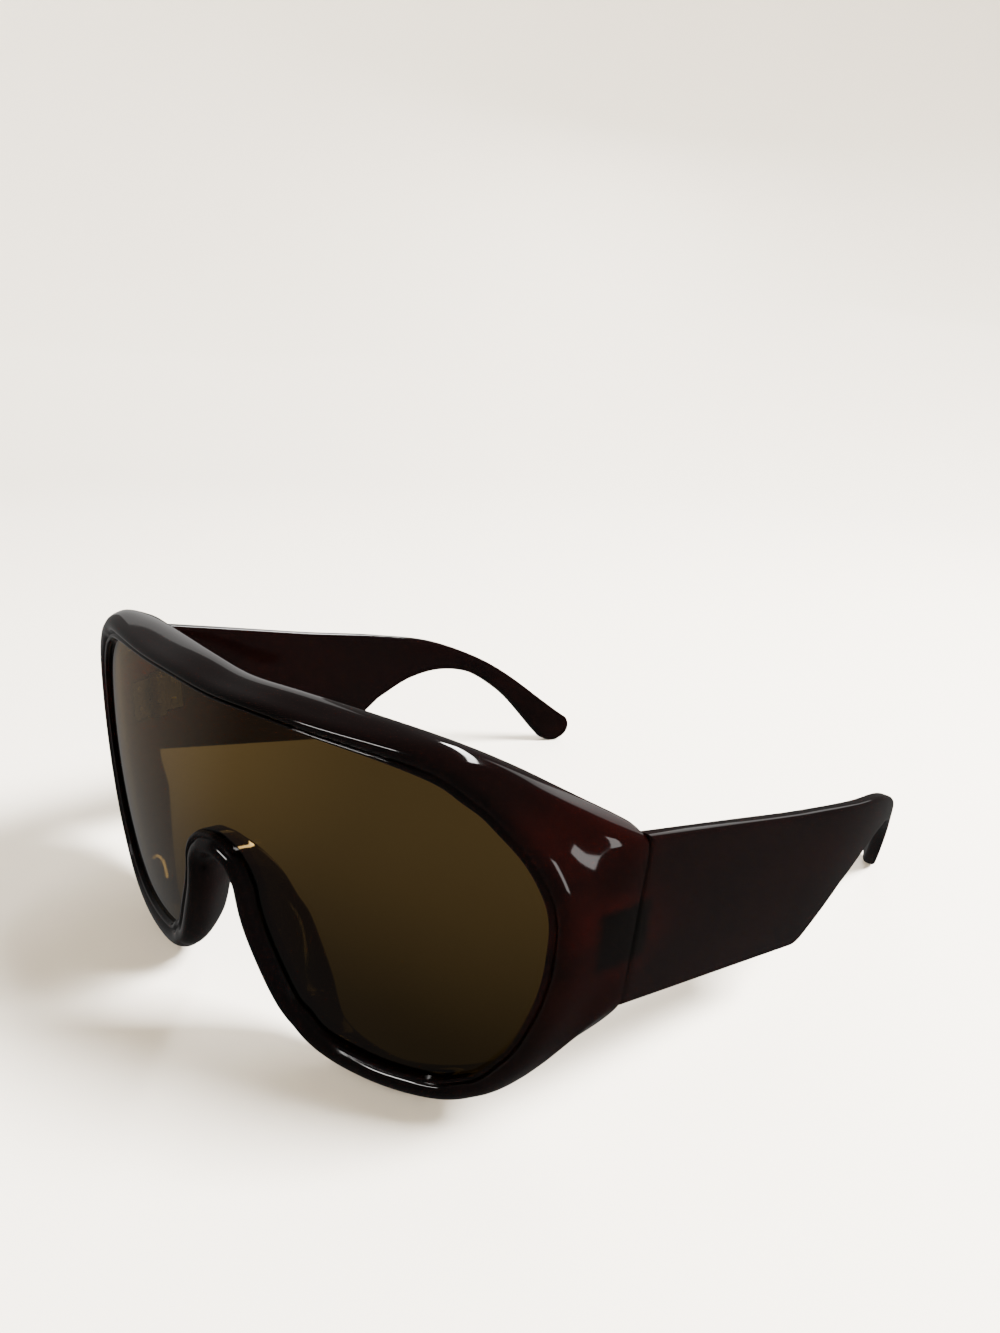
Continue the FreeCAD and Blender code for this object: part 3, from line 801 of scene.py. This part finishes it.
@dataclass
class FrontFrame:
    """Rim, brow, end pieces and nose arch, in one moulding.

    The shares of ridge and crest are pairs: out from the lens edge, of the rim's width, and
    forward of the lens, of the lip.
    """

    arc: LensArc
    track: RimTrack
    hinge: Hinge
    finish: bpy.types.Material
    rim_width: float = 5.8 * MM
    lip: float = 1.9 * MM
    rim_back: float = 0.8 * MM
    wall: float = 2.8 * MM
    brow_depth: float = 8.6 * MM
    wing_depth: float = 4.4 * MM
    bulge: float = 0.7 * MM
    rear_round: float = 0.9 * MM
    ridge_shares: tuple[SharePair, ...] = ((0.04, 0.50), (0.13, 0.60), (0.24, 0.42))
    crest_shares: tuple[SharePair, ...] = ((0.36, 0.78), (0.54, 1.00), (0.76, 0.90))
    inner_shares: SharePair = (0.35, 0.7)
    ridge_steps: int = 3
    bead_steps: int = 5
    end_half_width: float = 70.5 * MM
    end_wall: float = 3.2 * MM
    end_shoulder: float = 2.6 * MM
    seam_top: float = 55.8 * MM
    seam_height: float = 29.8 * MM
    seam_lean: float = 2.0 * MM
    seam_round: float = 0.55 * MM
    seam_segments: int = 4
    seam_least_corners: int = 9
    fall_share: float = 0.2152
    clearance: float = 0.08 * MM
    overrun: float = 2.2 * MM
    polish_from: int = 10
    polish_to: int = 50
    polish_rounds: int = 8
    polish_strength: float = 0.5

    def seam_y_at(self, z: float) -> float:
        """The seam leans forward towards its lower end."""
        return self.hinge.seam_y + (z - self.hinge.middle_z) * self.seam_lean / self.seam_height

    def section(self, index: int) -> list[Vector]:
        """Closed section at one sample, from the lens over the bead and back through the groove.

        Args:
            index: Number of the sample.

        Returns:
            The section's points, in order.
        """
        shares = Shares(*self.track.samples[index])
        edge = self.track.edge(self.track.samples[index])
        outward = self.track.outward(index)
        rim = shares.rim * self.rim_width
        rear_out = shares.rear_out * self.rim_width
        rear_back = shares.rear_back * self.brow_depth + shares.wing * self.wing_depth
        takeover = min(max(shares.takeover, 0.0), 1.0)
        end_z = self.seam_top - shares.seam * self.seam_height

        def at(out: float, depth: float) -> Vector:
            """A point so far outside the lens edge and behind the lens's front."""
            x, z = edge.x + out * outward.x, edge.z + out * outward.z
            return Vector((x, self.arc.y_at(x, z, depth), z))

        def on_end(inset: float, back: float) -> Vector:
            """A point of the end piece, in from its outside and behind the seam."""
            y, z = self.seam_y_at(end_z) + back, end_z - self.fall_share * back
            return Vector((self.end_half_width - inset, y, z))

        middle_out = (rim + rear_out) / 2 + self.bulge
        middle_end = on_end(self.bulge / 2, -self.end_shoulder)
        middle = at(middle_out, (self.rim_back + rear_back) / 2).lerp(middle_end, takeover)
        rear = at(rear_out, rear_back).lerp(on_end(0, self.overrun), takeover)
        inner_end = on_end(self.end_wall, self.overrun)
        inner_rear = at(rear_out - self.wall, rear_back).lerp(inner_end, takeover)
        round_rear = (rear + inner_rear) / 2 + Vector((0, self.rear_round, 0))
        behind = self.arc.thickness + self.clearance
        groove = self.arc.seat + self.clearance
        ridge = [at(out * rim, -forward * self.lip) for out, forward in self.ridge_shares]
        crest = [at(out * rim, -forward * self.lip) for out, forward in self.crest_shares]
        bead = [ridge[-1], *crest, at(rim, self.rim_back), middle, rear]
        inner_lip = at(0, behind)
        return [
            at(0, -self.clearance),
            *smooth_through(ridge, self.ridge_steps)[:-1],
            *smooth_through(bead, self.bead_steps)[:-1],
            *smooth_through([rear, round_rear, inner_rear], self.bead_steps),
            *(inner_rear.lerp(inner_lip, share) for share in self.inner_shares),
            inner_lip,
            at(groove, behind),
            at(groove, -self.clearance),
        ]

    def sweep(self) -> bmesh.types.BMesh:
        """Draws the section along the left half, mirrors it and polishes its outside.

        Returns:
            The whole ring, before it is trimmed at the seams.
        """
        bm = bmesh.new()
        number = bm.verts.layers.int.new("number")
        verts, edges = draw_line(bm, self.section(0), closed=True)
        for index, vert in enumerate(verts):
            vert[number] = index
        for index in range(1, len(self.track.samples)):
            points = self.section(index)
            grown = bmesh.ops.extrude_edge_only(bm, edges=edges)["geom"]
            new = {item for item in grown if isinstance(item, bmesh.types.BMVert)}
            for vert in new:
                vert.co = points[vert[number]]
            edges = [
                item for item in grown
                if isinstance(item, bmesh.types.BMEdge) and all(vert in new for vert in item.verts)
            ]
        bmesh.ops.mirror(
            bm, geom=everything(bm), matrix=Matrix.Identity(4), merge_dist=POLE_NEAR, axis="X"
        )
        bmesh.ops.remove_doubles(bm, verts=bm.verts, dist=SWEEP_NEAR)
        outside = [
            vert for vert in bm.verts if self.polish_from <= vert[number] < self.polish_to
        ]
        for _ in range(self.polish_rounds):
            bmesh.ops.smooth_vert(
                bm, verts=outside, factor=self.polish_strength,
                use_axis_x=True, use_axis_y=True, use_axis_z=True,
            )
        bmesh.ops.recalc_face_normals(bm, faces=bm.faces)
        return bm

    def trim(self, bm: bmesh.types.BMesh) -> None:
        """Cuts both end pieces at the leaning seam, closes them and rounds their edge.

        Args:
            bm: The ring to trim.
        """
        lean = math.atan2(self.seam_lean, self.seam_height)
        bmesh.ops.bisect_plane(
            bm,
            geom=everything(bm),
            dist=CUT_NEAR,
            plane_co=Vector((0, self.hinge.seam_y, self.hinge.middle_z)),
            plane_no=Vector((0, math.cos(lean), -math.sin(lean))),
            clear_outer=True,
        )
        rims = [edge for edge in bm.edges if edge.is_boundary]
        bmesh.ops.holes_fill(bm, edges=rims, sides=0)
        ends = [face for face in bm.faces if len(face.verts) >= self.seam_least_corners]
        edges = list({edge for face in ends for edge in face.edges})
        round_edges(bm, edges, self.seam_round, self.seam_segments)
        bmesh.ops.recalc_face_normals(bm, faces=bm.faces)

    def build(self) -> bpy.types.Object:
        """Makes the front, lets the hinges in and dresses it.

        Returns:
            The dressed front.
        """
        bm = self.sweep()
        self.trim(bm)
        piece = mesh_piece("moulded_front", bm)
        for side in Side:
            carve(piece, self.hinge.front_tools(side))
        dress(piece, self.finish)
        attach(piece, "front")
        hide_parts("front_frame")
        return piece


@dataclass
class ShieldLens:
    """One-piece lens, curved across and, more gently, up and down."""

    arc: LensArc
    track: RimTrack
    finish: bpy.types.Material
    columns: int = 168
    rows: int = 40

    def edges(self) -> tuple[list[Vector], list[Vector]]:
        """Upper and lower edge of the seated lens.

        Returns:
            Both edges, each from the middle to the side.
        """
        points = []
        for index, sample in enumerate(self.track.samples):
            points.append(self.track.edge(sample) + self.track.outward(index) * self.arc.seat)
        side = max(range(len(points)), key=lambda index: points[index].x)
        return points[: side + 1], list(reversed(points[side:]))

    @staticmethod
    def height_at(edge: Sequence[Vector], x: float) -> float:
        """Height of an edge so far from the middle.

        Args:
            edge: The edge, from the middle to the side.
            x: Distance from the middle.

        Returns:
            The height.
        """
        for here, there in zip(edge, edge[1:]):
            if there.x >= x and there.x > here.x:
                share = (x - here.x) / (there.x - here.x)
                return here.lerp(there, min(max(share, 0.0), 1.0)).z
        return edge[-1].z

    def build(self) -> bpy.types.Object:
        """Makes the lens from a bent grid and dresses it.

        Returns:
            The dressed lens.
        """
        upper, lower = self.edges()
        reach = upper[-1].x
        bm = bmesh.new()
        bmesh.ops.create_grid(bm, x_segments=self.columns, y_segments=self.rows, size=1.0)
        for vert in bm.verts:
            x = reach * math.sin(vert.co.x * math.pi / 2)
            low, high = self.height_at(lower, abs(x)), self.height_at(upper, abs(x))
            z = low + (high - low) * (vert.co.y + 1) / 2
            vert.co = Vector((x, self.arc.y_at(x, z, 0), z))
        bmesh.ops.remove_doubles(bm, verts=bm.verts, dist=POLE_NEAR)
        bmesh.ops.recalc_face_normals(bm, faces=bm.faces)
        if sum(face.normal.y for face in bm.faces) > 0:
            bmesh.ops.reverse_faces(bm, faces=bm.faces)
        bmesh.ops.solidify(bm, geom=bm.faces, thickness=self.arc.thickness)
        bmesh.ops.recalc_face_normals(bm, faces=bm.faces)
        piece = mesh_piece("tinted_lens", bm)
        dress(piece, self.finish)
        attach(piece, "front")
        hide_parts("shield_lens")
        return piece


@dataclass
class Temple:
    """Wide flat temple that narrows to a hooked tip.

    The shares of its outline are pairs: along the reach and up the height of the seam's top.
    """

    side: Side
    front: FrontFrame
    hinge: Hinge
    finish: bpy.types.Material
    reach: float = 135.39 * MM
    thickness: float = 3.2 * MM
    splay: float = 3.88 * MM
    bend: float = 20.6 * MM
    bend_start_share: float = 0.45
    corner_radius: float = 6.0 * MM
    corner_steps: int = 12
    tip_radius: float = 4.7 * MM
    tip_start: float = math.radians(35)
    tip_steps: int = 20
    gap: float = 0.2 * MM
    edge_round: float = 0.9 * MM
    edge_segments: int = 5
    edge_least_turn: float = math.radians(70)
    edge_slant: float = 0.01 * MM
    columns: int = 90
    curve_steps: int = 10
    top_shares: tuple[SharePair, ...] = (
        (0.18, 0.906), (0.351, 0.812), (0.53, 0.722), (0.668, 0.641), (0.783, 0.518)
    )
    low_shares: tuple[SharePair, ...] = (
        (0.823, 0.346), (0.755, 0.452), (0.686, 0.491), (0.61, 0.477), (0.522, 0.405)
    )
    corner_shares: SharePair = (0.415, 0.255)

    def point(self, along_share: float, height_share: float) -> Vector:
        """A point of the side view."""
        y = self.hinge.seam_y + along_share * self.reach
        return Vector((0, y, height_share * self.front.seam_top))

    def outline(self) -> list[Vector]:
        """Side view, from the seam's top round the tip and back to the seam's foot.

        Returns:
            The outline's points, in order.
        """
        top_z, foot_z = self.front.seam_top, self.front.seam_top - self.front.seam_height
        high = Vector((0, self.front.seam_y_at(top_z), top_z))
        foot = Vector((0, self.front.seam_y_at(foot_z), foot_z))
        tip_y = self.hinge.seam_y + self.reach - self.tip_radius
        centre = Vector((0, tip_y, self.tip_radius))
        round_tip = []
        for step in range(self.tip_steps + 1):
            turn = self.tip_start - math.pi * step / self.tip_steps
            round_tip.append(centre + Vector((0, math.cos(turn), math.sin(turn))) * self.tip_radius)
        top_points = [self.point(*shares) for shares in self.top_shares]
        low_points = [self.point(*shares) for shares in self.low_shares]
        top = smooth_through([high, *top_points, round_tip[0]], self.curve_steps)
        low = smooth_through([round_tip[-1], *low_points], self.curve_steps)
        corner = self.point(*self.corner_shares)
        to_arch, to_seam = (low[-1] - corner).normalized(), (foot - corner).normalized()
        half = to_arch.angle(to_seam) / 2
        start = corner + to_arch * (self.corner_radius / math.tan(half))
        end = corner + to_seam * (self.corner_radius / math.tan(half))
        hub = corner + (to_arch + to_seam).normalized() * (self.corner_radius / math.sin(half))
        bow = []
        for step in range(self.corner_steps + 1):
            chord = start.lerp(end, step / self.corner_steps)
            bow.append((chord - hub).normalized() * self.corner_radius + hub)
        return [*top, *round_tip[1:-1], *low, *bow, foot]

    def lean_in(self, y: float) -> float:
        """Place of the outer face so far along the temple, seen from above.

        Args:
            y: Place along the temple.

        Returns:
            Distance of the outer face from the middle of the part.
        """
        share = (y - self.hinge.seam_y) / self.reach
        bent = max(0.0, share - self.bend_start_share) / (1 - self.bend_start_share)
        return self.front.end_half_width + self.splay * share - self.bend * bent**2

    def goes_round(self, edge: bmesh.types.BMEdge) -> bool:
        """Whether an edge of the flat plate goes round its outline, and so is rounded.

        Args:
            edge: The edge.

        Returns:
            True for an edge between a side face and the plate's thickness.
        """
        first, last = edge.verts
        slant = abs(first.co.x - last.co.x)
        return edge.calc_face_angle(0.0) > self.edge_least_turn and slant < self.edge_slant

    def build(self) -> bpy.types.Object:
        """Makes the temple flat, bends it, rounds its edges, lets the hinge in and dresses it.

        Returns:
            The dressed temple.
        """
        bm = bmesh.new()
        edges = draw_line(bm, self.outline(), closed=True)[1]
        bmesh.ops.contextual_create(bm, geom=edges)
        grown = bmesh.ops.extrude_face_region(bm, geom=list(bm.faces))["geom"]
        moved = [item for item in grown if isinstance(item, bmesh.types.BMVert)]
        bmesh.ops.translate(bm, vec=Vector((-self.thickness, 0, 0)), verts=moved)
        bmesh.ops.recalc_face_normals(bm, faces=bm.faces)
        rims = [edge for edge in bm.edges if self.goes_round(edge)]
        round_edges(bm, rims, self.edge_round, self.edge_segments)
        lengthwise = Vector((0, 1, 0))
        for step in range(1, self.columns):
            plane = Vector((0, self.hinge.seam_y + self.reach * step / self.columns, 0))
            bmesh.ops.bisect_plane(
                bm, geom=everything(bm), dist=CUT_NEAR, plane_co=plane, plane_no=lengthwise
            )
        for vert in bm.verts:
            vert.co.x += self.lean_in(vert.co.y)
            vert.co.y += self.gap
        bmesh.ops.scale(bm, vec=Vector((self.side.value, 1, 1)), verts=bm.verts)
        bmesh.ops.remove_doubles(bm, verts=bm.verts, dist=CUT_NEAR)
        bmesh.ops.recalc_face_normals(bm, faces=bm.faces)
        piece = mesh_piece(f"{self.side.prefix}_side_arm", bm)
        carve(piece, self.hinge.temple_tools(self.side))
        dress(piece, self.finish)
        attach(piece, f"{self.side.prefix}_temple")
        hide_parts(f"{self.side.prefix}_temple")
        return piece


@dataclass
class HingeMetal:
    """Hinge leaves, screws and pins, with their machined edges broken."""

    leaf_finish: bpy.types.Material
    fastener_finish: bpy.types.Material
    edge_break: float = 0.06 * MM
    edge_segments: int = 2
    edge_least_turn: float = math.radians(40)
    flat_turn: float = math.radians(1)

    def build(self, node: str, body: str) -> bpy.types.Object:
        """Copies a node, joins its triangles, breaks its edges and dresses it.

        Args:
            node: The node that the copy stands for.
            body: The body that it rides on.

        Returns:
            The dressed copy.
        """
        bm = bmesh.new()
        bm.from_mesh(frame["nodes"][node].data)
        bmesh.ops.remove_doubles(bm, verts=bm.verts, dist=SWEEP_NEAR)
        bmesh.ops.dissolve_limit(bm, angle_limit=self.flat_turn, verts=bm.verts, edges=bm.edges)
        corners = [edge for edge in bm.edges if edge.calc_face_angle(0.0) > self.edge_least_turn]
        round_edges(bm, corners, self.edge_break, self.edge_segments)
        bmesh.ops.recalc_face_normals(bm, faces=bm.faces)
        piece = mesh_piece(f"{node}_steel", bm)
        is_leaf = node.endswith("_hinge")
        finish = self.leaf_finish if is_leaf else self.fastener_finish
        dress(piece, finish)
        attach(piece, body)
        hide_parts(node)
        return piece


# Studio


@dataclass(frozen=True)
class Softbox:
    """Rectangular light that looks at the part from a direction, its angles in degrees."""

    name: str
    azimuth: float
    elevation: float
    distance: float
    width: float
    height: float
    watts: float
    spin: float = 0.0
    spread: float = 180.0
    mirrored: bool = True
    colour: tuple[float, float, float] = (1.0, 0.985, 0.965)

    def build(self, aim: Vector) -> None:
        """Makes the light.

        Args:
            aim: What it points at.
        """
        data = bpy.data.lights.new(self.name, "AREA")
        data.shape = "RECTANGLE"
        data.size, data.size_y = self.width, self.height
        data.energy = self.watts
        data.spread = math.radians(self.spread)
        data.color = self.colour
        towards = direction(math.radians(self.azimuth), math.radians(self.elevation))
        turn = (-towards).to_track_quat("-Z", "Y").to_matrix().to_4x4()
        spin = Matrix.Rotation(math.radians(self.spin), 4, "Z")
        lamp = bpy.data.objects.new(self.name, data)
        lamp.matrix_world = Matrix.Translation(aim + towards * self.distance) @ turn @ spin
        lamp.visible_camera = False
        lamp.visible_transmission = False
        lamp.visible_glossy = self.mirrored
        bpy.context.scene.collection.objects.link(lamp)


@dataclass
class Studio:
    """A bowl of seamless paper, soft lights and the photograph's camera."""

    paper: bpy.types.Material
    floor_z: float
    bowl_radius: float = 1.3
    bowl_height: float = 1.6
    bowl_round: float = 0.7
    bowl_round_steps: int = 24
    bowl_spin_steps: int = 96
    bowl_near: float = 0.1 * MM
    bowl_sharp_degrees: float = 60.0
    room_light: float = 0.085
    room_colour: Colour = rgba(1.0, 0.98, 0.95)
    wall_light: float = 0.12
    wall_fade: Fade = (-0.68, -0.9)
    aim: tuple[float, float, float] = (0.0, -40 * MM, 40 * MM)
    softboxes: tuple[Softbox, ...] = (
        Softbox("overhead_fill", 130, 46, 1.2, 0.45, 0.45, 84.0, spread=140, mirrored=False),
        Softbox("rear_strip", -154, 46, 1.0, 0.08, 1.1, 11.0, spin=23),
        Softbox("low_rear_card", -168, 19, 1.0, 0.4, 0.5, 0.45),
        Softbox("side_window", 80, 13, 0.8, 0.11, 0.26, 0.42),
        Softbox("front_window", -22, 31, 0.8, 0.3, 0.04, 1.4),
        Softbox("left_card", -119, 8, 0.9, 0.38, 0.42, 0.2),
    )
    azimuth: float = math.radians(43.25)
    elevation: float = math.radians(28.65)
    roll: float = math.radians(3.0)
    eye: tuple[float, float, float] = (146.0 * MM, -172.1 * MM, 124.8 * MM)
    focal_px: float = 1058.2
    centre_px: tuple[float, float] = (462.51, 870.57)
    image_px: tuple[float, float] = (1000.0, 1333.0)
    sensor_mm: float = 36.0
    clip_start: float = 1 * MM

    def add_camera(self) -> None:
        """Makes the camera at the photograph's viewing angle."""
        back = direction(self.azimuth, self.elevation)
        right = Vector((math.cos(self.azimuth), math.sin(self.azimuth), 0))
        up = back.cross(right)
        tilted_right = right * math.cos(self.roll) + up * math.sin(self.roll)
        tilted_up = up * math.cos(self.roll) - right * math.sin(self.roll)
        width, height = self.image_px
        data = bpy.data.cameras.new("camera")
        data.sensor_width = self.sensor_mm
        data.lens = self.focal_px * self.sensor_mm / height
        data.shift_x = (width / 2 - self.centre_px[0]) / height
        data.shift_y = (self.centre_px[1] - height / 2) / height
        data.clip_start = self.clip_start
        camera = bpy.data.objects.new("camera", data)
        turn = Matrix((tilted_right, tilted_up, back)).transposed().to_4x4()
        camera.matrix_world = Matrix.Translation(Vector(self.eye)) @ turn
        bpy.context.scene.collection.objects.link(camera)
        bpy.context.scene.camera = camera

    def add_paper(self) -> None:
        """Makes floor and backdrop as one bowl, hidden from gloss and lens, which see the room."""
        flat = self.bowl_radius - self.bowl_round
        profile = [Vector((0, 0, 0)), Vector((flat, 0, 0))]
        for step in range(1, self.bowl_round_steps + 1):
            turn = math.pi / 2 * step / self.bowl_round_steps
            rise = self.bowl_round * (1 - math.cos(turn))
            profile.append(Vector((flat + self.bowl_round * math.sin(turn), 0, rise)))
        profile.append(Vector((self.bowl_radius, 0, self.bowl_height)))
        bm = bmesh.new()
        verts, edges = draw_line(bm, profile, closed=False)
        bmesh.ops.spin(
            bm, geom=[*verts, *edges], cent=Vector(), axis=Vector((0, 0, 1)), dvec=Vector(),
            angle=math.tau, steps=self.bowl_spin_steps, use_merge=True,
        )
        bmesh.ops.remove_doubles(bm, verts=bm.verts, dist=self.bowl_near)
        bmesh.ops.translate(bm, vec=Vector((0, 0, self.floor_z)), verts=bm.verts)
        bmesh.ops.recalc_face_normals(bm, faces=bm.faces)
        bowl = mesh_piece("seamless_paper", bm, self.bowl_sharp_degrees)
        bowl.data.materials.append(self.paper)
        bowl.visible_glossy = False
        bowl.visible_transmission = False

    def add_light(self) -> None:
        """Makes the soft light: a dim room, paler to the wearer's right, and the softboxes."""
        world = bpy.data.worlds.new("studio")
        maker = ShaderMaker(world)
        wall = maker.along("X", "Generated").smooth_step(*self.wall_fade)
        strength = self.room_light + wall * self.wall_light
        room = {"Color": self.room_colour, "Strength": strength}
        maker.show(maker.node("ShaderNodeBackground", {}, room), "ShaderNodeOutputWorld")
        bpy.context.scene.world = world
        for softbox in self.softboxes:
            softbox.build(Vector(self.aim))

    def build(self) -> None:
        """Sets up paper, light and camera."""
        self.add_paper()
        self.add_light()
        self.add_camera()


def body_of(node: str) -> str:
    """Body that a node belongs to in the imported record."""
    bodies: dict[str, list[str]] = frame["record"]["behaviour"]["bodies"]
    return next(body for body, members in bodies.items() if node in members)


def main() -> None:
    """Builds every piece in order and logs it."""
    logging.basicConfig(level=logging.INFO, format="%(name)s: %(message)s")
    arc = LensArc()
    track = RimTrack(arc)
    hinge = Hinge(arc)
    plastic = PolishedPlastic().material()
    front = FrontFrame(arc, track, hinge, plastic)
    made = [front.build(), ShieldLens(arc, track, AmberTint().material()).build()]
    made += [Temple(side, front, hinge, plastic).build() for side in Side]
    leaf_steel = BrushedSteel(
        "satin_hinge_steel", light=rgba(0.46, 0.44, 0.41), dark=rgba(0.3, 0.28, 0.26)
    )
    screw_steel = BrushedSteel(
        "satin_screw_steel", light=rgba(0.56, 0.55, 0.52), dark=rgba(0.36, 0.35, 0.33)
    )
    metal = HingeMetal(leaf_steel.material(), screw_steel.material())
    for node in sorted(frame["nodes"]):
        if node.endswith(("_hinge", "_screw", "_pin")):
            made.append(metal.build(node, body_of(node)))
    for piece in made:
        log.info("%s: %d faces", piece.name, len(piece.data.polygons))
    Studio(PalePaper().material(), CAD_BOX[0].z).build()


if __name__ == "__main__":
    main()
